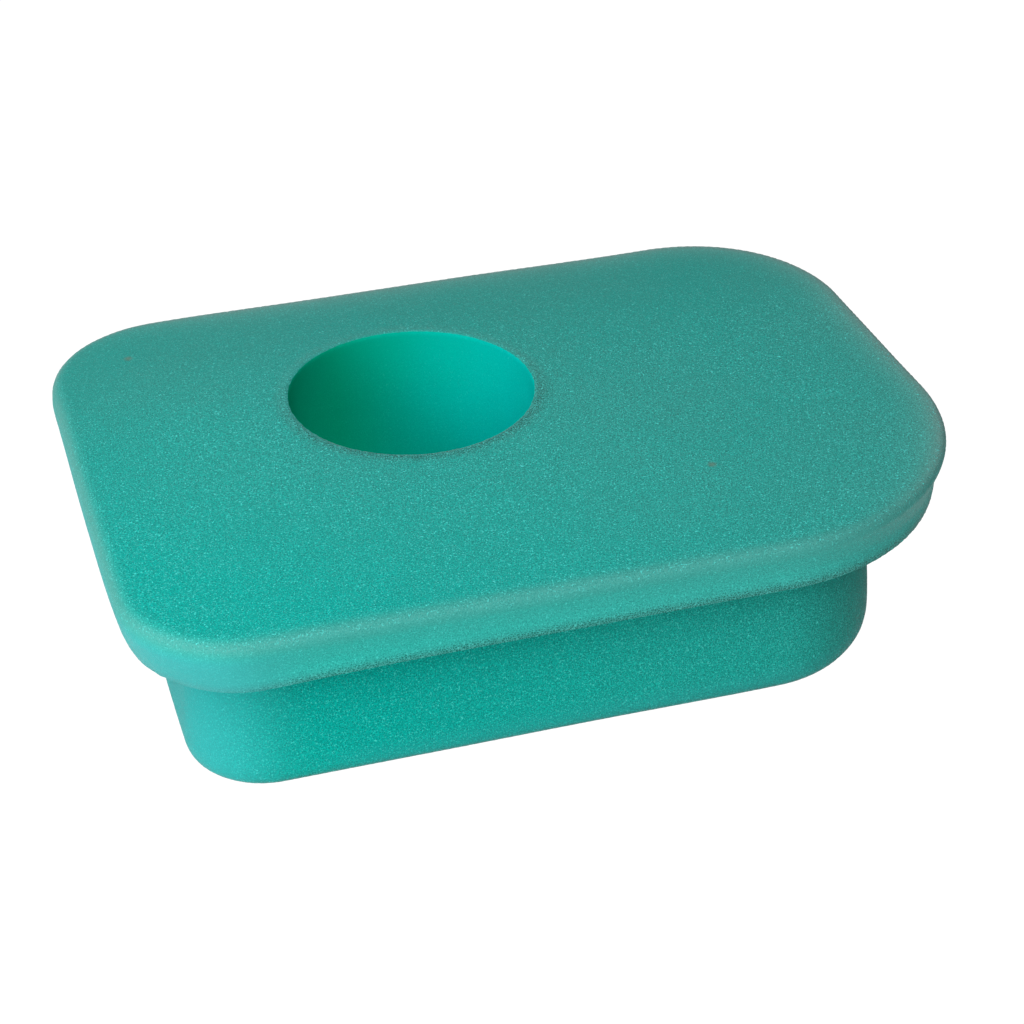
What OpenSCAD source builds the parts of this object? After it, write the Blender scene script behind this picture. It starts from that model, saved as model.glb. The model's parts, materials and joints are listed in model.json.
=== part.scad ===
// Stepped foam filter sponge: a wide, thin flange pad bonded on top of a narrower, thicker plug,
// with one round bore that runs straight down through both layers.
// Origin: middle of the flange's outline, on the plane that the plug stands on.
// +X runs along the long side, +Z points up. Corner order: front left, front right, back right,
// back left, where the front is the -Y side.

/* [Flange pad] */
// Length of the pad, along X
flange_l = 172; // [160:1:200]
// Width of the pad, along Y
flange_w = 126; // [120:1:150]
// Thickness of the pad
flange_h = 11; // [8:0.5:20]
// Radii of the pad's four corners
flange_corners = [22.5, 49, 34, 25]; // [15:0.5:50]
// How far the pad's cut side leans in at its lower rim
flange_undercut = 2; // [0.5:0.5:4]
// Radius of the soft roll along the pad's upper edge
flange_roll = 3; // [1:0.5:4]

/* [Plug block] */
// Thickness of the plug, from the surface it stands on to the pad
plug_h = 32; // [20:1:60]
// Radii of the plug's four corners, at its widest level
plug_corners = [16, 28.5, 21, 16]; // [12:0.5:35]
// Step from the pad's left end to the plug
step_left = 11.5; // [8:0.5:20]
// Step from the pad's right end to the plug
step_right = 16; // [8:0.5:20]
// Step from the pad's long sides to the plug
step_side = 13; // [8:0.5:18]
// How much narrower the plug is on each side where it meets the pad
plug_flare = 3; // [0.5:0.5:5]
// Radius of the plug's worn lower edge
plug_roll = 3; // [1:0.5:6]

/* [Bore] */
// Diameter of the hole that slides over the intake pipe
bore_d = 50; // [30:1:56]
// Distance of the bore's axis from the pad's left end
bore_from_left = 71; // [60:0.5:90]
// Distance of the bore's axis from the pad's back side
bore_from_back = 47.5; // [46:0.5:60]

/* [Bond film] */
// Thickness of the adhesive film between the two layers
film_t = 0.4; // [0.2:0.1:1]
// Distance that the film stays back from the plug's sides and from the bore
film_margin = 4; // [2:0.5:6]

/* [Hidden] */
// Segments of a full corner circle
arc_fn = 40;
// Segments of the bore, whose wall is a true cylinder
bore_fn = 96;
// Thickness of the discs that each rounded layer is stretched over
skin = 0.05;
// How far a cutting tool runs past the face it cuts
overrun = 1;
// Side of each corner in X and in Y, in corner order
corner_x = [-1, 1, 1, -1];
corner_y = [-1, -1, 1, 1];
total_h = plug_h + flange_h;
flange_size = [flange_l, flange_w];
plug_size = [flange_l - step_left - step_right, flange_w - 2 * step_side];
plug_shift = [(step_left - step_right) / 2, 0, 0];
bore_at = [bore_from_left - flange_l / 2, flange_w / 2 - bore_from_back, 0];
film_inset = plug_flare + film_margin;
film_z = plug_h - film_t;

// Levels of a quarter-round edge, as [height, inset], with the widest level at height 0.
// The edge turns upwards for a direction of 1 and downwards for -1.
function rolled_edge(radius, direction) =
    [for (a = [0 : 30 : 90]) [direction * radius * sin(a), radius * (1 - cos(a))]];

// The same levels, moved up by a height
function raised(levels, height) = [for (level = levels) [level[0] + height, level[1]]];

// The centre of corner i of an outline
function corner_centre(size, corners, i) =
    [corner_x[i] * (size[0] / 2 - corners[i]), corner_y[i] * (size[1] / 2 - corners[i])];

// Four thin discs in the corners of an outline, drawn in by an inset
module corner_discs(size, corners, inset) {
    for (i = [0 : 3])
        translate(corner_centre(size, corners, i))
            cylinder(h = skin, r = corners[i] - inset, $fn = arc_fn);
}

// A rounded block stretched over its levels, each given as [height, inset]
module rounded_layer(size, corners, levels) {
    hull()
        for (level = levels)
            translate([0, 0, level[0]])
                corner_discs(size, corners, level[1]);
}

// A round tool along the bore's axis
module bore_tool(diameter, low, high) {
    translate([bore_at[0], bore_at[1], low])
        cylinder(h = high - low, d = diameter, $fn = bore_fn);
}

// Upper layer: leans in below, rolls over above, and its bore goes right through
module flange_pad() {
    upper_edge = raised(rolled_edge(flange_roll, 1), flange_h - flange_roll - skin);
    color([0.14, 0.66, 0.62])
        difference() {
            translate([0, 0, plug_h])
                rounded_layer(flange_size, flange_corners, concat([[0, flange_undercut]], upper_edge));
            bore_tool(bore_d, plug_h - overrun, total_h + overrun);
        }
}

// A rounded outline with true arcs, drawn in by an inset: a polygon through the points where
// the straight sides meet the arcs, and a circle in each corner
module flat_outline(size, corners, inset) {
    polygon([
        for (i = [0 : 3], end = [0 : 1])
            let (on_x_side = (i + end) % 2 == 0, reach = corners[i] - inset)
                corner_centre(size, corners, i)
                    + (on_x_side ? [corner_x[i] * reach, 0] : [0, corner_y[i] * reach])
    ]);
    for (i = [0 : 3])
        translate(corner_centre(size, corners, i))
            circle(r = corners[i] - inset, $fn = arc_fn);
}

// The film's flat shape from a low to a high level, with its ring-shaped gap around the bore
module film_shape(low, high) {
    difference() {
        translate([plug_shift[0], plug_shift[1], low])
            linear_extrude(high - low)
                flat_outline(plug_size, plug_corners, film_inset);
        bore_tool(bore_d + 2 * film_margin, low - overrun, high + overrun);
    }
}

// Lower layer: widest just above its rounded lower edge, with a shallow pocket for the film
module plug_block() {
    lower_edge = raised(rolled_edge(plug_roll, -1), plug_roll);
    color([0.05, 0.62, 0.58])
        difference() {
            translate(plug_shift)
                rounded_layer(plug_size, plug_corners, concat(lower_edge, [[plug_h - skin, plug_flare]]));
            bore_tool(bore_d, -overrun, plug_h + overrun);
            film_shape(film_z, plug_h + overrun);
        }
}

// Adhesive between the layers, sealed on every side by foam
module bond_film() {
    color([0.86, 0.82, 0.70])
        film_shape(film_z, plug_h);
}

flange_pad();
plug_block();
bond_film();
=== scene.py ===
import json
import math

import bpy
import numpy as np
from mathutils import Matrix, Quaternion, Vector, noise
from mathutils.geometry import delaunay_2d_cdt

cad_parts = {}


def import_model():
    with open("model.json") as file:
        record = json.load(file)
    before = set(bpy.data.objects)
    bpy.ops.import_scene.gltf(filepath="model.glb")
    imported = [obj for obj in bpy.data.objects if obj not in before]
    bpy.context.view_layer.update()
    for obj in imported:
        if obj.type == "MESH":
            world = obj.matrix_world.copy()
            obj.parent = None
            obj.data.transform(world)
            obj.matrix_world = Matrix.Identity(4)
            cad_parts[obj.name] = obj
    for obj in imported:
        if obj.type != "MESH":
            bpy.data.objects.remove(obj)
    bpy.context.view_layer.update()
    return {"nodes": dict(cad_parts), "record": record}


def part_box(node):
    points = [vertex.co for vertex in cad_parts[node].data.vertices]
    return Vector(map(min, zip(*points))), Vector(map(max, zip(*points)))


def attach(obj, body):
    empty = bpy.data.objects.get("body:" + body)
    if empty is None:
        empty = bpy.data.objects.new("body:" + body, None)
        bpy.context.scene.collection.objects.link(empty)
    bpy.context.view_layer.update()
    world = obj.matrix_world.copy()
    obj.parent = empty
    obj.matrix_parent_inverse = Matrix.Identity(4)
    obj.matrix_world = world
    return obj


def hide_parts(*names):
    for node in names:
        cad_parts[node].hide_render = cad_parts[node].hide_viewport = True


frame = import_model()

# The mesh code works in millimetres; Blender's objects are in metres.
MM = 0.001
CELL = 1.05  # distance between neighbouring pores that are cut into the mesh
CELL_HIDDEN = 9.0  # the same where the two layers are bonded and nothing shows
WELD = 1e-3  # vertices closer than this belong together
TOUCH = 0.01  # heights and distances closer than this count as the same
STRAY = 0.22  # how far lattice points stray from their places, in lattice steps
EDGE_ROOM = 0.55  # how far they keep from a patch's rims, in lattice steps

rng = np.random.default_rng(7)


# ---------------------------------------------------------------------------------------------
# Sizes in mm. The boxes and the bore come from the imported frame; the corner radii, the flare and
# the margin repeat the CAD's. The rounding of the mouth is only in the visual model.

def box_mm(node):
    """Lowest and highest corner of a CAD node, in millimetres."""
    low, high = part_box(node)
    return np.array(low) / MM, np.array(high) / MM


mounts = {m["name"]: m for m in frame["record"]["mounts"]}
BORE_X, BORE_Y = (value / MM for value in mounts["pipe_bore"]["pos_m"][:2])
BORE_R = mounts["pipe_bore"]["dims"]["r_mm"]
FLANGE_LOW, FLANGE_HIGH = box_mm("flange_pad")
PLUG_LOW, PLUG_HIGH = box_mm("plug_block")
FILM_LOW, FILM_HIGH = box_mm("bond_film")
SEAM_Z = PLUG_HIGH[2]
TOP_Z = FLANGE_HIGH[2]
FLANGE_CORNERS = (22.5, 49.0, 34.0, 25.0)  # front left, front right, back right, back left
PLUG_CORNERS = (16.0, 28.5, 21.0, 16.0)
PLUG_FLARE = 3.0  # how much narrower the plug is where it meets the flange
FILM_MARGIN = 4.0  # from the film's edge to the bore
MOUTH_ROUND = 0.8  # how far the rounding of the hole's mouth reaches


# ---------------------------------------------------------------------------------------------
# Outlines

class Outline:
    """A rounded rectangle with its own radius in each corner, walked counter-clockwise."""

    def __init__(self, low, high, radii):
        (x0, y0), (x1, y1) = low[:2], high[:2]
        fl, fr, br, bl = radii
        self.low, self.high = (x0, y0), (x1, y1)
        self.centres = np.array(
            [(x0 + fl, y0 + fl), (x1 - fr, y0 + fr), (x1 - br, y1 - br), (x0 + bl, y1 - bl)]
        )
        self.radii = np.array(radii)
        # each side, then the corner that follows it: front, right, back, left
        turn = math.pi / 2
        sides = (x1 - x0 - fl - fr, y1 - y0 - fr - br, x1 - x0 - br - bl, y1 - y0 - bl - fl)
        arcs = (fr * turn, br * turn, bl * turn, fl * turn)
        lengths = [length for pair in zip(sides, arcs) for length in pair]
        self.ends = np.concatenate([[0.0], np.cumsum(lengths)])
        self.length = self.ends[-1]

    def walk(self, distance):
        """Points and outward normals at distances along the outline."""
        s = np.mod(distance, self.length)
        part = np.clip(np.searchsorted(self.ends, s, side="right") - 1, 0, 7)
        side = part // 2
        on_arc = part % 2 == 1
        corner = np.where(on_arc, (side + 1) % 4, side)
        radius = self.radii[corner]
        along = s - self.ends[part]
        angle = (side - 1) * math.pi / 2 + np.where(on_arc, along / radius, 0.0)
        normal = np.stack([np.cos(angle), np.sin(angle)], axis=1)
        forward = np.stack([-normal[:, 1], normal[:, 0]], axis=1)
        point = self.centres[corner] + normal * radius[:, None]
        return point + forward * np.where(on_arc, 0.0, along)[:, None], normal

    def depth(self, xy):
        """How far points lie inside the outline, negative outside."""
        x, y = xy[:, 0], xy[:, 1]
        sides = [x - self.low[0], self.high[0] - x, y - self.low[1], self.high[1] - y]
        depth = np.min(sides, axis=0)
        for centre, radius, way in zip(self.centres, self.radii, ((-1, -1), (1, -1), (1, 1), (-1, 1))):
            beyond = (way[0] * (x - centre[0]) > 0) & (way[1] * (y - centre[1]) > 0)
            round_depth = radius - np.hypot(x - centre[0], y - centre[1])
            depth = np.where(beyond, round_depth, depth)
        return depth


class Circle:
    """The bore's outline, with the same calls as Outline but walked clockwise: solid outside."""

    def __init__(self, radius):
        self.radius = radius
        self.length = 2 * math.pi * radius

    def walk(self, distance):
        angle = -np.asarray(distance) / self.radius
        normal = np.stack([np.cos(angle), np.sin(angle)], axis=1)
        return np.array([BORE_X, BORE_Y]) + normal * self.radius, -normal


def bore_gap(xy):
    """Distance of points from the bore's wall, positive in the foam."""
    return np.hypot(xy[:, 0] - BORE_X, xy[:, 1] - BORE_Y) - BORE_R


# ---------------------------------------------------------------------------------------------
# Mesh patches. Vertices form a triangular lattice in which every third one is a pore's bottom.

class Patches:
    """Vertices, pore marks and triangles of the pieces of surface that make up one layer."""

    def __init__(self):
        self.points, self.pores, self.faces, self.count = [], [], [], 0

    def add(self, points, pores, faces):
        self.points.append(points)
        self.pores.append(pores)
        self.faces.append(np.asarray(faces, dtype=np.int64) + self.count)
        self.count += len(points)

    def wall(self, outline, profile, columns, variant=None):
        """A wall round an outline; profile holds (inset, height) rows. Returns its end rows.
        variant is a second inset(height) and its share(xy) along the outline."""
        step = outline.length / columns
        index = np.arange(columns)
        rows, marks = [], []
        for j, (inset, height) in enumerate(profile):
            point, normal = outline.walk((index + 0.5 * (j % 2)) * step)
            insets = np.full(columns, float(inset))
            if variant is not None:
                other_inset, share = variant
                insets += (other_inset(height) - inset) * share(point)
            rows.append(np.column_stack([point - normal * insets[:, None], np.full(columns, height)]))
            marks.append((index - j // 2 - j) % 3 == 0)
        faces = []
        for j in range(len(profile) - 1):
            here, up = j * columns + index, (j + 1) * columns + index
            here_next, up_next = np.roll(here, -1), np.roll(up, -1)
            if j % 2 == 0:
                faces += [np.stack([here, here_next, up], 1), np.stack([here_next, up_next, up], 1)]
            else:
                faces += [np.stack([here, up_next, up], 1), np.stack([here, here_next, up_next], 1)]
        self.add(np.concatenate(rows), np.concatenate(marks), np.concatenate(faces))
        return rows[0], rows[-1]

    def plate(self, loops, inside, fields, height, up):
        """A flat patch at one height. loops are its rims, inside(xy) is the distance from them,
        and fields lists (lattice step, chooser(xy)) so that the lattice is only fine where needed."""
        edge_points = [loop[:, :2] for loop in loops]
        edges, start = [], 0
        for loop in edge_points:
            size = len(loop)
            edges += [(start + k, start + (k + 1) % size) for k in range(size)]
            start += size
        marks = [np.zeros(start, dtype=bool)]
        low = np.min(np.concatenate(edge_points), axis=0)
        high = np.max(np.concatenate(edge_points), axis=0)
        for step, chooser in fields:
            rise = step * math.sqrt(3) / 2
            n = np.arange(math.floor(low[1] / rise), math.ceil(high[1] / rise) + 1)
            reach = max(abs(low[0]), abs(high[0])) + max(abs(low[1]), abs(high[1]))
            m = np.arange(-math.ceil(reach / step), math.ceil(reach / step) + 1)
            m, n = (grid.ravel() for grid in np.meshgrid(m, n))
            xy = np.column_stack([(m + 0.5 * n) * step, n * rise])
            xy = xy + rng.uniform(-STRAY, STRAY, xy.shape) * step
            keep = (inside(xy) > EDGE_ROOM * step) & chooser(xy)
            edge_points.append(xy[keep])
            marks.append(((m - n) % 3 == 0)[keep])
        flat = np.concatenate(edge_points)
        marks = np.concatenate(marks)
        out = delaunay_2d_cdt([Vector(p) for p in flat], edges, [], 0, 1e-6, True)
        source = np.array([ids[0] for ids in out[3]])
        xy = flat[source]  # the triangulation rounds its points, and rims have to weld
        tri = np.array([f for f in out[2]])
        middle = xy[tri].mean(axis=1)
        tri = tri[inside(middle) > 0]
        self.add(
            np.column_stack([xy, np.full(len(xy), height)]),
            marks[source],
            tri if up else tri[:, ::-1],
        )

    def welded(self):
        """All patches as one closed mesh: points, pore marks and triangles."""
        points = np.concatenate(self.points)
        pores = np.concatenate(self.pores)
        faces = np.concatenate(self.faces)
        keys, first, back = np.unique(
            np.round(points / WELD).astype(np.int64), axis=0, return_index=True, return_inverse=True
        )
        faces = back.reshape(-1)[faces]
        good = (faces[:, 0] != faces[:, 1]) & (faces[:, 1] != faces[:, 2]) & (faces[:, 0] != faces[:, 2])
        return points[first], pores[first], faces[good]


def columns_for(length, step):
    """Number of lattice columns round a length: a multiple of three, so that the pores close."""
    return 3 * round(length / step / 3)


def vertex_normals(points, faces):
    a, b, c = (points[faces[:, k]] for k in range(3))
    face_normals = np.cross(b - a, c - a)
    normals = np.zeros_like(points)
    for k in range(3):
        for axis in range(3):
            normals[:, axis] += np.bincount(faces[:, k], face_normals[:, axis], len(points))
    return normals / np.maximum(np.linalg.norm(normals, axis=1), 1e-9)[:, None]


def smoothstep(low, high, value):
    t = np.clip((value - low) / (high - low), 0.0, 1.0)
    return t * t * (3 - 2 * t)


def bump_curve(value, centre, width):
    """A soft hump: 1 at centre, falling to 0 about a width away."""
    return np.exp(-(((value - centre) / width) ** 2))


def drift(points, scale, seed):
    """Smooth noise, from about -1 to 1, at each point."""
    offset = Vector((seed * 17.3, seed * 5.1, seed * 9.7))
    return np.array([noise.noise(Vector(p) / scale + offset) for p in points])


# ---------------------------------------------------------------------------------------------
# The two foam layers

LATTICE = CELL / math.sqrt(3)  # neighbouring vertices, where every third is a pore's bottom
ROW = LATTICE * math.sqrt(3) / 2
LATTICE_UNDER = LATTICE * 1.6  # the same under the flange's overhang
LATTICE_BASE = LATTICE * 1.5  # and on the face that the filter stands on
SWAY_LENGTH = 55.0  # how far apart the slow swells of the soft foam are
SWAY = (0.5, 0.5, 0.35)  # how far they move a vertex, along x, y and z
flange_outline = Outline(FLANGE_LOW, FLANGE_HIGH, FLANGE_CORNERS)
plug_outline = Outline(PLUG_LOW, PLUG_HIGH, PLUG_CORNERS)


def resample(path, step):
    """Points at even steps along a path of (inset, height) points."""
    path = np.array(path, dtype=float)
    along = np.concatenate([[0.0], np.cumsum(np.hypot(*np.diff(path, axis=0).T))])
    rows = max(2, round(along[-1] / step)) + 1
    at = np.linspace(0.0, along[-1], rows)
    return np.column_stack([np.interp(at, along, path[:, k]) for k in range(2)])


def curve(anchors, count=60):
    """A smooth Catmull-Rom curve through (inset, height) anchors."""
    p = np.array(anchors, dtype=float)
    p = np.vstack([2 * p[0] - p[1], p, 2 * p[-1] - p[-2]])
    out = []
    for k in range(1, len(p) - 2):
        t = np.linspace(0, 1, count, endpoint=k == len(p) - 3)[:, None]
        out.append(
            0.5
            * (
                2 * p[k]
                + (p[k + 1] - p[k - 1]) * t
                + (2 * p[k - 1] - 5 * p[k] + 4 * p[k + 1] - p[k + 2]) * t**2
                + (3 * p[k] - p[k - 1] - 3 * p[k + 1] + p[k + 2]) * t**3
            )
        )
    return np.concatenate(out)


def flange_profile():
    """The flange's cut side: a lip under the soft upper edge, a hollow below it, a lower rim."""
    height = TOP_Z - SEAM_Z
    return curve(
        [
            (1.9, SEAM_Z),
            (1.7, SEAM_Z + 0.12 * height),
            (1.7, SEAM_Z + 0.35 * height),
            (1.0, SEAM_Z + 0.60 * height),
            (0.25, SEAM_Z + 0.80 * height),
            (0.35, SEAM_Z + 0.90 * height),
            (1.2, SEAM_Z + 0.97 * height),
            (3.0, TOP_Z),
        ]
    )


def round_inset(height):
    """The flange's side where it has no lip: one soft round from the top to the lower rim."""
    part = (height - SEAM_Z) / (TOP_Z - SEAM_Z)
    parts = (0.0, 0.12, 0.35, 0.60, 0.80, 0.90, 0.97, 1.0)
    insets = (1.9, 1.35, 0.75, 0.45, 0.65, 1.15, 1.95, 3.0)
    return float(np.interp(part, parts, insets))


def no_lip(xy):
    """Where the flange has no lip: its left end."""
    return 1.0 - smoothstep(-78.0, -50.0, xy[:, 0])


def plug_profile():
    """The plug's side: a rounded lower edge, widest just above it, drawn in towards the flange."""
    return curve(
        [
            (3.2, 0.0),
            (1.1, 0.8),
            (0.1, 3.2),
            (0.1, 8.0),
            (1.0, 18.0),
            (2.2, 27.0),
            (PLUG_FLARE, SEAM_Z),
        ]
    )


def anywhere(xy):
    """A lattice chooser that keeps every point."""
    return np.ones(len(xy), dtype=bool)


def flange_surface():
    """The closed surface of the upper layer, before its pores are pressed in."""
    patches = Patches()
    side_low, side_high = patches.wall(
        flange_outline,
        resample(flange_profile(), ROW),
        columns_for(flange_outline.length, LATTICE),
        (round_inset, no_lip),
    )
    bore = Circle(BORE_R)
    bore_rows = resample([(0, SEAM_Z), (0, TOP_Z)], ROW)
    bore_low, bore_high = patches.wall(bore, bore_rows, columns_for(bore.length, LATTICE))
    top_inset = flange_profile()[-1][0]
    low_inset = flange_profile()[0][0]
    patches.plate(
        [side_high, bore_high],
        lambda xy: np.minimum(flange_outline.depth(xy) - top_inset, bore_gap(xy)),
        [(LATTICE, anywhere)],
        TOP_Z,
        True,
    )
    patches.plate(
        [side_low, bore_low],
        lambda xy: np.minimum(flange_outline.depth(xy) - low_inset, bore_gap(xy)),
        [
            (LATTICE_UNDER, lambda xy: plug_outline.depth(xy) < PLUG_FLARE + 1),
            (CELL_HIDDEN, lambda xy: plug_outline.depth(xy) > PLUG_FLARE + 4),
        ],
        SEAM_Z,
        False,
    )
    return patches.welded()


def plug_surface():
    """The closed surface of the lower layer, with the pocket that holds the bond film."""
    patches = Patches()
    side_low, side_high = patches.wall(
        plug_outline, resample(plug_profile(), ROW), columns_for(plug_outline.length, LATTICE)
    )
    bore = Circle(BORE_R)
    bore_rows = resample([(0, 0), (0, SEAM_Z)], ROW)
    bore_low, bore_high = patches.wall(bore, bore_rows, columns_for(bore.length, LATTICE))
    film_outline = Outline(FILM_LOW, FILM_HIGH, [r - PLUG_FLARE - FILM_MARGIN for r in PLUG_CORNERS])
    pocket_floor, pocket_brim = film_wall(patches, film_loop(film_outline))
    low_inset = plug_profile()[0][0]

    def pocket_depth(xy):
        return np.minimum(film_outline.depth(xy), bore_gap(xy) - FILM_MARGIN)

    def beside_pocket(xy):
        on_face = np.minimum(plug_outline.depth(xy) - PLUG_FLARE, bore_gap(xy))
        return np.minimum(on_face, -pocket_depth(xy))

    patches.plate(
        [side_high, bore_high, pocket_brim], beside_pocket, [(CELL_HIDDEN, anywhere)], SEAM_Z, True
    )
    patches.plate([pocket_floor], pocket_depth, [(CELL_HIDDEN, anywhere)], FILM_LOW[2], True)
    patches.plate(
        [side_low, bore_low],
        lambda xy: np.minimum(plug_outline.depth(xy) - low_inset, bore_gap(xy)),
        [(LATTICE_BASE, anywhere)],
        0.0,
        False,
    )
    return patches.welded()


def film_loop(outline):
    """The film's edge: its outline, with a bite round the bore, which reaches past its back side."""
    spacing = 3.0  # between neighbouring points
    slack = 0.3  # so that no point is left almost on the bite
    ring = BORE_R + FILM_MARGIN
    count = round(outline.length / spacing)
    point, _ = outline.walk(np.arange(count) * outline.length / count)
    bitten = np.flatnonzero(bore_gap(point) < FILM_MARGIN + slack)
    start = math.asin((FILM_HIGH[1] - BORE_Y) / ring)
    turn = math.pi + 2 * start
    angle = start - np.linspace(0.0, turn, round(turn * ring / spacing) + 1)
    bite = np.column_stack([BORE_X + ring * np.cos(angle), BORE_Y + ring * np.sin(angle)])
    return np.concatenate([point[: bitten[0]], bite, point[bitten[-1] + 1 :]])


def film_wall(patches, loop):
    """The upright wall of the film's pocket, which faces into the pocket."""
    index = np.arange(len(loop))
    low, high = (np.column_stack([loop, np.full(len(loop), z)]) for z in (FILM_LOW[2], SEAM_Z))
    here, up = index, len(loop) + index
    here_next, up_next = np.roll(here, -1), np.roll(up, -1)
    faces = np.concatenate([np.stack([here, up, here_next], 1), np.stack([here_next, up, up_next], 1)])
    patches.add(np.concatenate([low, high]), np.zeros(2 * len(loop), dtype=bool), faces)
    return low, high


# Where each layer was cut a little off its outline: place, reach and shift, in mm
FLANGE_NUDGES = [
    ((86, -8), 26, (-0.5, 0.0)),
    ((82, 34), 24, (-0.8, -0.55)),
    ((48, 63), 34, (0.0, -1.0)),
    ((-25, 63), 30, (0.0, -0.2)),
    ((-76, 58), 16, (-0.4, 0.05)),
    ((-86, 5), 34, (-0.5, 0.0)),
    ((-80, -52), 16, (0.35, 0.3)),
]
PLUG_NUDGES = [
    ((68, -32), 22, (-0.5, 0.1)),
    ((60, -46), 12, (-0.2, 0.3)),
    ((38, -50), 32, (0.0, -0.9)),
    ((-20, -50), 30, (0.0, -0.3)),
    ((-74, -28), 20, (-0.25, 0.0)),
]
RIM_NUDGES = [((-78, -56), 20, (1.3, 1.3)), ((84, -30), 22, (-0.3, 0.15))]  # of its lower rim only
RIM_DROOP = ((-72, -54), 20, 1.4)  # where and how far that rim hangs below its joint


def nudged(points, nudges):
    """Points moved by soft local shifts."""
    out = points.copy()
    for place, reach, shift in nudges:
        away = np.hypot(points[:, 0] - place[0], points[:, 1] - place[1])
        out[:, :2] += np.exp(-((away / reach) ** 2))[:, None] * np.array(shift)
    return out


def soft_sway(points):
    """The slow unevenness of soft foam: it grows with height, so the base stays flat."""
    rise = smoothstep(6.0, TOP_Z, points[:, 2])
    out = points.copy()
    for axis, reach in enumerate(SWAY):
        out[:, axis] += reach * rise * drift(points, SWAY_LENGTH, axis + 1)
    return out


# Pores and small unevenness, in mm
PORE_LEAST, PORE_MORE = 0.03, 0.06  # a pore's least depth, and how much more chance can add
LIFT = 0.015  # how far the vertices between pores stand out or sink in
WANDER = 0.08  # how far vertices stray along the surface
FRAY_OUT, FRAY_IN = -0.05, 0.12  # how far the hole's upper edge strays towards the bore's axis
SEAM_REACH = 0.45  # up to this far from the joint of the layers a vertex counts as being on it
BOND_SLACK = 0.3  # how far past the plug's upper edge the joint still counts as bonded
MOUTH_GIVE = 0.3 * MOUTH_ROUND  # how far the hole's edge itself gives way
MOUTH_POWER = 1.6  # how quickly that fades away from the edge

# Where the foam is worn or cut, and where sheen, light and shade are painted on, in mm. A pair gives
# where a share starts and where it is full.
RIM_BAND = (1.5, 1.9, 2.6)  # the lower rim: its reach up the side, its inset, its reach inwards
LIP_BAND = (1.0, 1.7, 1.0, 1.8)  # the lip: below the top, reach up and down, inset, reach inwards
MOUTH_BAND = (1.2, 1.6)  # the ring of wear and painted sheen round the hole: its distance from the bore and its reach
EDGE_FADE = 3.5  # how far the painted sheen on the upper edge reaches inwards
EDGE_HEIGHT = (TOP_Z - 1.6, TOP_Z - 0.2)
EDGE_WAY = (0.6 / 60.0, 0.8 / 60.0)  # it lies at the right and the back: their weights per mm
EDGE_START = (-0.3, 0.5)  # the weighted sums at which it starts and is full
LEFT_END_X, LEFT_END_Y = (-51.0, -75.0), (60.0, 10.0)  # the left end, where sheen is painted on
SIDE_HEIGHT = (TOP_Z - 1.5, TOP_Z - 5.0)  # below the top's edge, where that painted sheen lies
BASE_BAND, BASE_HEIGHT, BASE_X = 0.35, (8.0, 2.0), (-62.0, -35.0)  # a thin paler band round the foot
MOUTH_RIM, MOUTH_RIM_Y = 0.5, (30.0, 0.0)  # the hole's frayed front edge looks like the lower rim
MOUTH_LIP = 0.4  # and a little like the lip
BACK_Y = (5.0, 55.0)  # towards the back the pattern is calmer
TOP_HEIGHT = (TOP_Z - 1.5, TOP_Z)  # what counts as the top face
CUT_DEPTH, CUT_HEIGHT = (4.0, 1.5), (TOP_Z, TOP_Z - 2.5)  # the flange's cut side


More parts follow.
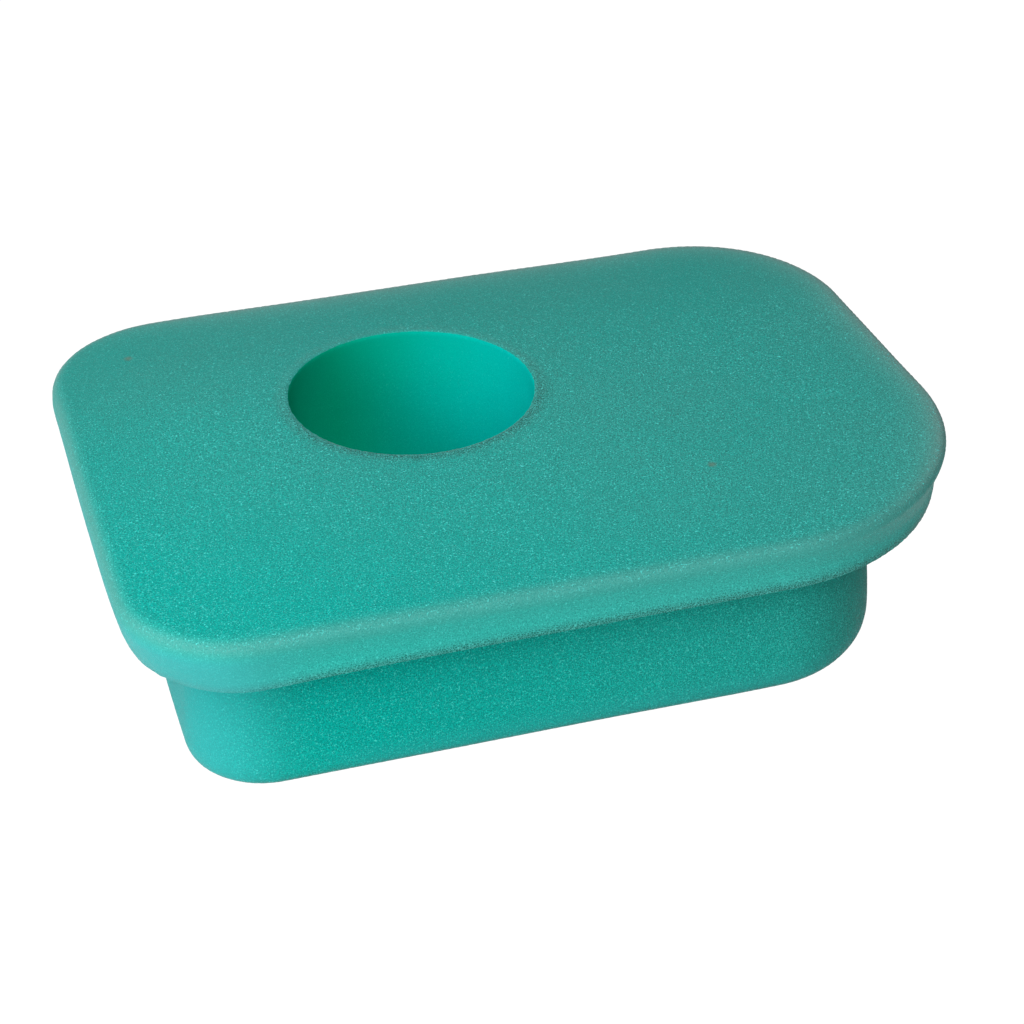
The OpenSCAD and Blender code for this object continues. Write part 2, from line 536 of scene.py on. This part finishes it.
class Zones:
    """Where the vertices of one layer lie: plain yes or no, or soft shares from 0 to 1."""

    def __init__(self, points, outline, base_z):
        self.flat, self.z = points[:, :2], points[:, 2]
        x, y, z = self.flat[:, 0], self.flat[:, 1], self.z
        self.base_z = base_z
        self.depth, self.gap = outline.depth(self.flat), bore_gap(self.flat)
        self.is_top = abs(z.max() - TOP_Z) < TOUCH
        self.on_bore = np.abs(self.gap) < TOUCH
        self.bore_edge = self.on_bore & (z > TOP_Z - TOUCH)
        self.seam = np.abs(z - SEAM_Z) < SEAM_REACH
        self.bonded = self.seam & (plug_outline.depth(self.flat) > PLUG_FLARE - BOND_SLACK)
        rise, inset, reach = RIM_BAND
        self.rim = bump_curve(z, base_z, rise) * bump_curve(self.depth, inset, reach)
        drop, rise, inset, reach = LIP_BAND
        self.lip = bump_curve(z, TOP_Z - drop, rise) * bump_curve(self.depth, inset, reach)
        self.mouth = bump_curve(self.gap, *MOUTH_BAND) * ~self.on_bore * self.is_top
        # painted sheen along the upper edge at the back and on the right
        near_edge = np.exp(-np.maximum(self.depth, 0.0) / EDGE_FADE)
        self.edge = near_edge * smoothstep(*EDGE_HEIGHT, z) * self.is_top
        self.edge *= smoothstep(*EDGE_START, EDGE_WAY[0] * x + EDGE_WAY[1] * y)
        # painted sheen on the sides at the left end, and a thin paler band round the foot
        left_end = smoothstep(*LEFT_END_X, x) * smoothstep(*LEFT_END_Y, y) * smoothstep(*SIDE_HEIGHT, z)
        base_band = BASE_BAND * smoothstep(*BASE_HEIGHT, z) * smoothstep(*BASE_X, x)
        self.painted_sheen_and_foot_band = np.maximum(left_end, base_band)
        self.inward = np.column_stack([self.flat - (BORE_X, BORE_Y), np.zeros(len(points))])
        self.inward /= -np.maximum(np.linalg.norm(self.inward, axis=1), 1e-9)[:, None]

    def marks(self, pores, chance):
        """The numbers from 0 to 1 that the materials read at each vertex."""
        y, z = self.flat[:, 1], self.z
        off_bore = ~self.on_bore
        return {
            "pore": np.where(pores & ~self.bonded, 0.3 + 0.7 * chance, 0.0),
            "rim": np.maximum(self.rim, MOUTH_RIM * self.mouth * smoothstep(*MOUTH_RIM_Y, y)),
            "calm": smoothstep(*BACK_Y, y) * smoothstep(SEAM_Z, TOP_Z, z),
            "lip": np.clip(self.lip + MOUTH_LIP * self.mouth, 0.0, 1.0) * self.is_top,
            "edge": self.edge,
            "painted_sheen_and_foot_band": self.painted_sheen_and_foot_band * off_bore,
            "top": smoothstep(*TOP_HEIGHT, z) * off_bore,
            "cut": smoothstep(*CUT_DEPTH, self.depth) * smoothstep(*CUT_HEIGHT, z) * self.is_top,
        }


def pressed(points, faces, pores, chance, zones):
    """The points with pores pressed in and every vertex a little out of line."""
    z, on_bore, bonded = zones.z, zones.on_bore, zones.bonded
    pore_depth = PORE_LEAST + PORE_MORE * chance
    pore_depth *= 1.0 - 0.6 * zones.rim
    pore_depth *= 1.0 + zones.mouth
    pore_depth *= 0.4 + 0.6 * smoothstep(0.0, 3.0, z)
    lift = -LIFT + 2 * LIFT * rng.uniform(0.0, 1.0, len(points))
    press = np.where(pores, pore_depth, lift) * np.where(bonded, 0.0, 1.0) * np.where(on_bore, 0.3, 1.0)
    normals = vertex_normals(points, faces)
    deep_in_bore = on_bore & (z < TOP_Z - 0.6) & (z > 0.6)
    normals[deep_in_bore] = zones.inward[deep_in_bore]
    shaped = points - normals * press[:, None]
    wander = rng.uniform(-WANDER, WANDER, points.shape)
    wander -= normals * np.sum(wander * normals, axis=1)[:, None]
    shaped += wander * (~bonded & ~on_bore)[:, None]
    fray = rng.uniform(FRAY_OUT, FRAY_IN, len(points))
    shaped += (zones.inward * fray[:, None]) * zones.bore_edge[:, None]
    return shaped


def round_mouth(shaped, zones):
    """Rounds the hole's mouth: both faces give way towards the edge that they share."""
    from_edge = np.where(zones.on_bore, TOP_Z - zones.z, zones.gap)
    facing = zones.on_bore | (np.abs(zones.z - TOP_Z) < TOUCH)
    give = MOUTH_GIVE * np.clip(1.0 - from_edge / MOUTH_ROUND, 0.0, 1.0) ** MOUTH_POWER
    shaped[:, 2] -= give * facing
    shaped -= zones.inward * (give * facing)[:, None]


def loosen_rim(shaped, points, zones):
    """Shifts the flange's lower rim here and there, and lets it hang at one corner."""
    tuck = smoothstep(TOP_Z, SEAM_Z, zones.z)[:, None]
    shaped += (nudged(points, RIM_NUDGES) - points) * tuck * ~zones.on_bore[:, None]
    (place_x, place_y), reach, fall = RIM_DROOP
    away = np.hypot(zones.flat[:, 0] - place_x, zones.flat[:, 1] - place_y)
    droop = fall * bump_curve(away, 0.0, reach)
    overhang = smoothstep(PLUG_FLARE - 1.0, -3.0, plug_outline.depth(zones.flat))
    shaped[:, 2] -= droop * overhang * tuck[:, 0]


def crease(mesh, zones):
    """Keeps the shading sharp along the layer's lower edge and round the ends of the bore."""
    outer_edge = zones.depth[zones.seam | (zones.z < TOUCH)].min()
    at_edge = (np.abs(zones.depth - outer_edge) < 2 * TOUCH) | zones.on_bore
    creased = (np.abs(zones.z - zones.base_z) < TOUCH) & at_edge
    creased |= zones.bore_edge
    ends = np.empty(2 * len(mesh.edges), dtype=np.int32)
    mesh.edges.foreach_get("vertices", ends)
    sharp = mesh.attributes.new("sharp_edge", "BOOLEAN", "EDGE")
    sharp.data.foreach_set("value", creased[ends.reshape(-1, 2)].all(axis=1))


def foam_piece(name, surface, outline, base_z, nudges, skins):
    """Presses pores into a surface, marks its vertices for the materials and makes the object.
    skins are the materials of the outer faces and of the bore's wall."""
    points, pores, faces = surface
    zones = Zones(points, outline, base_z)
    chance = rng.uniform(0.0, 1.0, len(points))
    shaped = pressed(points, faces, pores, chance, zones)
    if zones.is_top:
        round_mouth(shaped, zones)
        loosen_rim(shaped, points, zones)
    shaped += (nudged(points, nudges) - points) * (~zones.on_bore)[:, None]
    shaped = soft_sway(shaped)
    shaped[:, 2] = np.maximum(shaped[:, 2], 0.0)
    mesh = bpy.data.meshes.new(name)
    mesh.from_pydata((shaped * MM).tolist(), [], faces.tolist())
    for skin in skins:
        mesh.materials.append(skin)
    mesh.polygons.foreach_set("material_index", zones.on_bore[faces].all(axis=1).astype(np.int32))
    mesh.polygons.foreach_set("use_smooth", ~zones.bonded[faces].all(axis=1))
    crease(mesh, zones)
    for mark, values in zones.marks(pores, chance).items():
        layer = mesh.attributes.new(mark, "FLOAT", "POINT")
        layer.data.foreach_set("value", values.astype(np.float32))
    piece = bpy.data.objects.new(name, mesh)
    bpy.context.scene.collection.objects.link(piece)
    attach(piece, "root")
    return piece


# ---------------------------------------------------------------------------------------------
# Materials

# The foam's patterns, in repeats per metre
CELLS = 2000.0
GRIT = 3800.0
PAINTED_GLINTS = 2900.0
BLOTCHES = 26.0

# How dark the foam is, from 0 on a bright strut to 1 in a deep hollow; the darkness in the hollows, the
# pressed pores and the lower rim's holes is painted shade
MIDDLE = 0.45  # stays as it is when the pattern is made calmer
HOLLOW_PAINTED_SHADE = 0.32
PORE_PAINTED_SHADE = 0.04
GRIT_DARK = (0.60, -0.10)  # from the middle of a grain of grit to its border
RIM_PAINTED_SHADE = (-0.1, 0.9)  # painted shade on the lower rim, from its struts to its holes

# How much calmer the pattern is under the painted sheen at the left end and the paler band at the foot,
# towards the back, on the cut side and where the painted light and sheen have not come in
PAINTED_SHEEN_CALM, BACK_CALM, CUT_CALM, CALM_BEFORE_PAINTED_LIGHT = 0.30, 0.60, 0.10, 0.18

# How much of each colour of wear, dirt, painted light and painted sheen shows where its mark is full
CUT_PAINTED_LIGHT_SHARE, LIP_SHARE, RIM_SHARE, PAINTED_SHEEN_SHARE, SPECK_SHARE = 0.5, 0.9, 0.6, 0.5, 0.6
BUMP_DEPTH = 0.0002  # in metres

# painted highlight: the colour that struts catching the light are painted
PAINTED_GLINT = (0.14, 0.96, 0.92, 1.0)
CUT_SIDE_PAINTED_LIGHT = (0.078, 0.55, 0.48, 1.0)  # the flange's cut side, frayed, and painted lighter and greyer with painted light and sheen
WEAR_AND_PAINTED_SHEEN = (0.10, 0.38, 0.34, 1.0)  # wear with painted sheen and painted shade on the lip, the lower rim and the mouth of the hole
PAINTED_SHEEN_EDGE = (0.33, 0.51, 0.47, 1.0)  # painted sheen, a grey veil on the upper edge at the back and on the right
PAINTED_SHEEN_END = (0.068, 0.48, 0.52, 1.0)  # painted sheen, pale and bluish, on the sides at the left end; a little of it makes a paler band round the foot
SPECKS = [(-0.0681, 0.0470, TOP_Z * MM), (0.0324, -0.0318, TOP_Z * MM)]  # two bits of dirt on top
SPECK_COLOUR = (0.22, 0.17, 0.10, 1.0)
SPECK_REACH, SPECK_MIDDLE = 0.0012, 0.0001  # metres from its centre: where it ends, where it is full

# The second pair of colours is painted light: painted shade and a grey veil of painted sheen towards the
# right and back of the top and the plug, and painted light, brighter and bluer, on the bore's right side.
# The last entry says where it comes in: how much right and back count, start, end
# the hollow colours here are the struts' colours darkened with painted shade
TOP_COLOURS = {
    "strut": (0.004, 0.63, 0.55, 1.0),
    "hollow": (0.0, 0.15, 0.12, 1.0),
    "strut in painted light": (0.068, 0.52, 0.46, 1.0),
    "hollow in painted light": (0.028, 0.13, 0.11, 1.0),
    "painted_light_ramp": (0.6, 0.8, -0.075, -0.010),
}
PLUG_COLOURS = {
    "strut": (0.0, 0.59, 0.50, 1.0),
    "hollow": (0.0, 0.12, 0.10, 1.0),
    "strut in painted light": (0.050, 0.47, 0.40, 1.0),
    "hollow in painted light": (0.013, 0.10, 0.08, 1.0),
    "painted_light_ramp": (0.8, 0.6, -0.060, 0.030),
}
# painted light: the bore's wall is painted greener, as by light bounced about and passed through the foam
# in the hole, and brighter and bluer on its right
BORE_PAINTED_LIGHT_COLOURS = {
    "strut": (0.0, 0.68, 0.41, 1.0),
    "hollow": (0.0, 0.23, 0.14, 1.0),
    "strut in painted light": (0.0, 0.86, 0.93, 1.0),
    "hollow in painted light": (0.0, 0.32, 0.34, 1.0),
    "painted_light_ramp": (1.0, 0.0, -0.026, 0.010),
}
ADHESIVE_THICK = (0.74, 0.66, 0.46, 1.0)
ADHESIVE_THIN = (0.60, 0.50, 0.32, 1.0)


class Graph:
    """Small helper that adds and links the nodes of one material."""

    def __init__(self, name):
        self.material = bpy.data.materials.new(name)
        self.material.use_nodes = True
        self.tree = self.material.node_tree
        self.tree.nodes.clear()

    def node(self, kind, inputs=None, **settings):
        made = self.tree.nodes.new(kind)
        for key, value in settings.items():
            setattr(made, key, value)
        for key, value in (inputs or {}).items():
            if isinstance(value, bpy.types.NodeSocket):
                self.tree.links.new(value, made.inputs[key])
            else:
                made.inputs[key].default_value = value
        return made

    def math(self, operation, a, b=0.0, clamp=False):
        return self.node("ShaderNodeMath", {0: a, 1: b}, operation=operation, use_clamp=clamp).outputs[0]

    def plus(self, a, b, clamp=False):
        return self.math("ADD", a, b, clamp)

    def minus(self, a, b, clamp=False):
        return self.math("SUBTRACT", a, b, clamp)

    def times(self, a, b):
        return self.math("MULTIPLY", a, b)

    def spread(self, value, low, high, to_low=0.0, to_high=1.0):
        """Maps low..high to to_low..to_high and holds the ends."""
        inputs = {0: value, 1: low, 2: high, 3: to_low, 4: to_high}
        return self.node("ShaderNodeMapRange", inputs).outputs[0]

    def mix(self, factor, a, b):
        """Colour a, turning into b as the factor goes from 0 to 1."""
        made = self.node("ShaderNodeMix", data_type="RGBA")
        for socket, value in (("Factor_Float", factor), ("A_Color", a), ("B_Color", b)):
            target = next(s for s in made.inputs if s.identifier == socket)
            if isinstance(value, bpy.types.NodeSocket):
                self.tree.links.new(value, target)
            else:
                target.default_value = value
        return next(s for s in made.outputs if s.identifier == "Result_Color")

    def cloud(self, where, scale, detail):
        """Soft noise from about 0 to 1, with scale repeats per metre."""
        inputs = {"Vector": where, "Scale": scale, "Detail": detail}
        return self.node("ShaderNodeTexNoise", inputs).outputs["Fac"]

    def mark(self, name):
        """A number that foam_piece stored at the mesh's vertices."""
        return self.node("ShaderNodeAttribute", attribute_name=name).outputs["Fac"]


def foam_pattern(g, where):
    """The foam's net: how far the nearest strut is, the grit, how hollow and how dark it is, with painted
    shade in the hollows, the pressed pores and the lower rim's holes.
    """
    cell = {"Vector": where, "Scale": CELLS, "Randomness": 1.0}
    net = g.node("ShaderNodeTexVoronoi", cell, feature="DISTANCE_TO_EDGE").outputs["Distance"]
    grit = g.node("ShaderNodeTexVoronoi", {"Vector": where, "Scale": GRIT, "Randomness": 1.0})
    fine = g.spread(grit.outputs["Distance"], 0.15, 0.75)
    hole = g.spread(net, 0.02, 0.15, 0.0, 0.85)
    # painted shade: the cells' hollows and the pressed pores are darkened in the colour
    dark = g.plus(g.times(hole, HOLLOW_PAINTED_SHADE), g.times(g.mark("pore"), PORE_PAINTED_SHADE))
    dark = g.plus(dark, g.spread(fine, 0.0, 1.0, *GRIT_DARK))
    # painted shade in the holes of the lower rim
    dark = g.plus(dark, g.times(g.mark("rim"), g.spread(hole, 0.3, 0.6, *RIM_PAINTED_SHADE)))
    return net, fine, hole, dark


def pattern_strength(g, grain, far, start, end):
    """How strongly the pattern shows: less under the painted sheen at the left end and the paler band at
    the foot, on the cut side, towards the back, and where the painted light and sheen have not come in.
    """
    quiet = g.plus(g.times(g.mark("painted_sheen_and_foot_band"), PAINTED_SHEEN_CALM), g.times(g.mark("calm"), BACK_CALM))
    quiet = g.plus(quiet, g.times(g.mark("cut"), CUT_CALM))
    quiet = g.plus(quiet, g.spread(far, start, end, CALM_BEFORE_PAINTED_LIGHT, 0.0))
    return g.times(g.minus(1.0, quiet, clamp=True), grain)


def foam_with_painted_light(g, where, dark, colours, far):
    """The foam's colour, which turns into its second pair of colours, painted light, shade and sheen,
    over a distance.
    """
    _, _, start, end = colours["painted_light_ramp"]
    blotch = g.cloud(where, BLOTCHES, 3.0)
    # painted light and sheen come in towards the right and back
    painted_light_ramp = g.times(g.spread(far, start, end), g.spread(blotch, 0.35, 0.65, 0.5, 0.7))
    strut = g.mix(painted_light_ramp, colours["strut"], colours["strut in painted light"])
    hollow = g.mix(painted_light_ramp, colours["hollow"], colours["hollow in painted light"])
    return g.mix(dark, strut, hollow)


def wear_and_painted_light(g, colour, dark):
    """Adds wear and painted light: wear with painted sheen and shade on the lip, rim and mouth, painted
    light and sheen on the cut side and the upper edge, painted sheen at the left end and a paler band at
    the foot, all more on the struts than in the hollows.
    """
    lit = g.minus(1.15, dark, clamp=True)
    # painted light and sheen on the flange's cut side
    colour = g.mix(g.times(g.times(g.mark("cut"), CUT_PAINTED_LIGHT_SHARE), lit), colour, CUT_SIDE_PAINTED_LIGHT)
    # wear with painted sheen and shade on the lip, the lower rim and the hole's mouth
    wear_and_sheen = g.math("MAXIMUM", g.times(g.mark("lip"), LIP_SHARE), g.times(g.mark("rim"), RIM_SHARE))
    colour = g.mix(g.times(wear_and_sheen, lit), colour, WEAR_AND_PAINTED_SHEEN)
    # painted sheen on the upper edge at the back and on the right
    colour = g.mix(g.times(g.mark("edge"), lit), colour, PAINTED_SHEEN_EDGE)
    # painted sheen at the left end, and a paler band round the foot
    return g.mix(g.times(g.mark("painted_sheen_and_foot_band"), PAINTED_SHEEN_SHARE), colour, PAINTED_SHEEN_END)


def painted_glints(g, where, net):
    """Painted highlights where single struts catch the light, most of all on the top."""
    spark = g.times(g.spread(g.cloud(where, PAINTED_GLINTS, 1.0), 0.53, 0.68), g.spread(net, 0.12, 0.02))
    return g.times(spark, g.spread(g.mark("top"), 0.0, 1.0, 0.6, 1.0))


def foam_material(name, colours, grain, specular, sheen):
    """Open-cell foam: a net of bright struts over cells darkened with painted shade, with pale edges of
    wear and painted sheen, painted glints, and painted light and sheen that come in across the surface.
    """
    g = Graph(name)
    where = g.node("ShaderNodeTexCoord").outputs["Object"]
    x, y, _ = g.node("ShaderNodeSeparateXYZ", {0: where}).outputs
    right, back, start, end = colours["painted_light_ramp"]
    far = g.plus(g.times(x, right), g.times(y, back))
    net, fine, hole, dark = foam_pattern(g, where)
    strength = pattern_strength(g, grain, far, start, end)
    dark = g.plus(g.times(g.minus(dark, MIDDLE), strength), MIDDLE, clamp=True)
    colour = wear_and_painted_light(g, foam_with_painted_light(g, where, dark, colours, far), dark)
    spark = painted_glints(g, where, net)
    # painted highlights on single struts
    colour = g.mix(g.times(spark, strength), colour, PAINTED_GLINT)
    for place in SPECKS:
        away = g.node("ShaderNodeVectorMath", {0: where, 1: place}, operation="DISTANCE").outputs["Value"]
        colour = g.mix(g.spread(away, SPECK_REACH, SPECK_MIDDLE, 0.0, SPECK_SHARE), colour, SPECK_COLOUR)
    height = g.minus(g.times(fine, -0.4), hole)
    bump = g.node("ShaderNodeBump", {"Strength": 0.25 * grain, "Distance": BUMP_DEPTH, "Height": height})
    rough = g.minus(g.spread(fine, 0.0, 1.0, 0.75, 0.95), g.times(spark, 0.4))
    shader = g.node(
        "ShaderNodeBsdfPrincipled",
        {
            "Base Color": colour,
            "Roughness": rough,
            "Normal": bump.outputs["Normal"],
            "Specular IOR Level": specular,
            "Sheen Weight": sheen,
            "Sheen Roughness": 0.3,
            "Sheen Tint": (1.0, 1.0, 1.0, 1.0),
        },
    )
    g.node("ShaderNodeOutputMaterial", {"Surface": shader.outputs[0]})
    return g.material


def adhesive_material():
    """Dried contact adhesive, cloudy where it lies thicker."""
    g = Graph("dried_adhesive")
    where = g.node("ShaderNodeTexCoord").outputs["Object"]
    cloud = g.cloud(where, 180.0, 4.0)
    colour = g.mix(g.spread(cloud, 0.35, 0.65), ADHESIVE_THICK, ADHESIVE_THIN)
    bump = g.node("ShaderNodeBump", {"Strength": 0.4, "Distance": BUMP_DEPTH, "Height": cloud})
    shader = g.node(
        "ShaderNodeBsdfPrincipled",
        {
            "Base Color": colour,
            "Roughness": g.spread(cloud, 0.3, 0.7, 0.35, 0.6),
            "Normal": bump.outputs["Normal"],
        },
    )
    g.node("ShaderNodeOutputMaterial", {"Surface": shader.outputs[0]})
    return g.material


def plain_white(name, albedo, glow):
    """Matt white for the studio's sheets, which may glow."""
    g = Graph(name)
    shader = g.node(
        "ShaderNodeBsdfPrincipled",
        {
            "Base Color": (albedo, albedo, albedo, 1.0),
            "Roughness": 0.9,
            "Emission Color": (1.0, 1.0, 1.0, 1.0),
            "Emission Strength": glow,
        },
    )
    g.node("ShaderNodeOutputMaterial", {"Surface": shader.outputs[0]})
    return g.material


# ---------------------------------------------------------------------------------------------
# The object

top_foam = foam_material("top_foam", TOP_COLOURS, grain=1.05, specular=0.08, sheen=0.3)
plug_foam = foam_material("plug_foam", PLUG_COLOURS, grain=0.95, specular=0.08, sheen=0.3)
# the bore's wall gets its own copy of the foam, with painted light
bore_foam_painted_light = foam_material("bore_foam_painted_light", BORE_PAINTED_LIGHT_COLOURS, grain=0.20, specular=0.0, sheen=0.0)

flange = foam_piece(
    "flange_foam_pad",
    flange_surface(),
    flange_outline,
    SEAM_Z,
    FLANGE_NUDGES,
    (top_foam, bore_foam_painted_light),
)
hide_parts("flange_pad")

plug = foam_piece(
    "plug_foam_block",
    plug_surface(),
    plug_outline,
    0.0,
    PLUG_NUDGES,
    (plug_foam, bore_foam_painted_light),
)
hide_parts("plug_block")

film = frame["nodes"]["bond_film"]
film.data.materials.clear()
film.data.materials.append(adhesive_material())


# ---------------------------------------------------------------------------------------------
# Floor, light and camera

SHEET_REACH = 6.0  # how far the studio's sheets reach from the middle, in metres
WHITE_GROUND_DROP = 0.0002  # how far the white ground lies under the pale floor
NO_LIGHT = 0.0  # the surroundings are dark: all light comes from the lamps and off the floor
# name, azimuth and elevation in degrees, distance and size in metres, power in watts
LAMPS = [
    ("left", -90, 50, 0.9, 0.5, 2.2),
    ("front_left", -50, 20, 0.9, 0.5, 3.0),
    ("front", 0, 50, 0.9, 0.5, 3.2),
    ("near_left", -60, 35, 0.32, 0.2, 0.18),
    ("back", 165, 14, 0.9, 0.6, 1.5),
]
# The photograph's view, solved from the hole and the outlines of the two layers
CAMERA_AZIMUTH, CAMERA_ELEVATION, CAMERA_ROLL = -16.2, 32.64, -1.11
CAMERA_AIM = (0.0057, 0.0275, 0.0)
CAMERA_DISTANCE = 0.532
CAMERA_LENS = 84.95
CAMERA_SHIFT = (0.0168, 0.0064)


def sheet(name, height, material):
    """A wide level sheet that belongs to the studio."""
    mesh = bpy.data.meshes.new(name)
    side = SHEET_REACH
    corners = [(-side, -side, height), (side, -side, height), (side, side, height), (-side, side, height)]
    mesh.from_pydata(corners, [], [(0, 1, 2, 3)])
    mesh.materials.append(material)
    plane = bpy.data.objects.new(name, mesh)
    bpy.context.scene.collection.objects.link(plane)
    return plane


def floor():
    """A pale floor that lights the object from below, shown as the evenly lit white of a light
    table, so that no shadow spoils the white ground."""
    pale_floor = sheet("floor", 0.0, plain_white("pale_floor", 0.86, 0.0))
    pale_floor.visible_camera = False
    white_ground = sheet("white_ground", -WHITE_GROUND_DROP, plain_white("white_ground", 0.0, 1.05))
    white_ground.visible_diffuse = False
    white_ground.visible_glossy = False
    white_ground.visible_shadow = False


def direction(azimuth, elevation):
    """The unit vector that points from the object that way; azimuth 0 is the front, in degrees."""
    a, e = math.radians(azimuth), math.radians(elevation)
    return Vector((math.sin(a) * math.cos(e), -math.cos(a) * math.cos(e), math.sin(e)))


def soft_light(name, azimuth, elevation, distance, size, power):
    """A square lamp that looks at the object from a direction."""
    data = bpy.data.lights.new(name, "AREA")
    data.size = size
    data.energy = power
    lamp = bpy.data.objects.new(name, data)
    back = direction(azimuth, elevation)
    lamp.location = back * distance
    lamp.rotation_mode = "QUATERNION"
    lamp.rotation_quaternion = (-back).to_track_quat("-Z", "Y")
    bpy.context.scene.collection.objects.link(lamp)


def world(strength):
    """Plain white surroundings of a given strength."""
    made = bpy.data.worlds.new("studio")
    made.use_nodes = True
    made.node_tree.nodes["Background"].inputs["Color"].default_value = (1.0, 1.0, 1.0, 1.0)
    made.node_tree.nodes["Background"].inputs["Strength"].default_value = strength
    bpy.context.scene.world = made


def camera():
    """The photograph's view: 16 degrees round to the left, 33 degrees up, with a long lens."""
    data = bpy.data.cameras.new("camera")
    data.sensor_width = 36.0
    data.lens = CAMERA_LENS
    data.shift_x, data.shift_y = CAMERA_SHIFT
    data.clip_start, data.clip_end = 0.01, 50.0
    back = direction(CAMERA_AZIMUTH, CAMERA_ELEVATION)
    shot = bpy.data.objects.new("camera", data)
    shot.location = Vector(CAMERA_AIM) + back * CAMERA_DISTANCE
    shot.rotation_mode = "QUATERNION"
    look = (-back).to_track_quat("-Z", "Y")
    shot.rotation_quaternion = look @ Quaternion((0, 0, 1), math.radians(CAMERA_ROLL))
    bpy.context.scene.collection.objects.link(shot)
    bpy.context.scene.camera = shot


floor()
world(NO_LIGHT)
for lamp in LAMPS:
    soft_light(*lamp)
camera()
bpy.context.scene.view_settings.view_transform = "Standard"
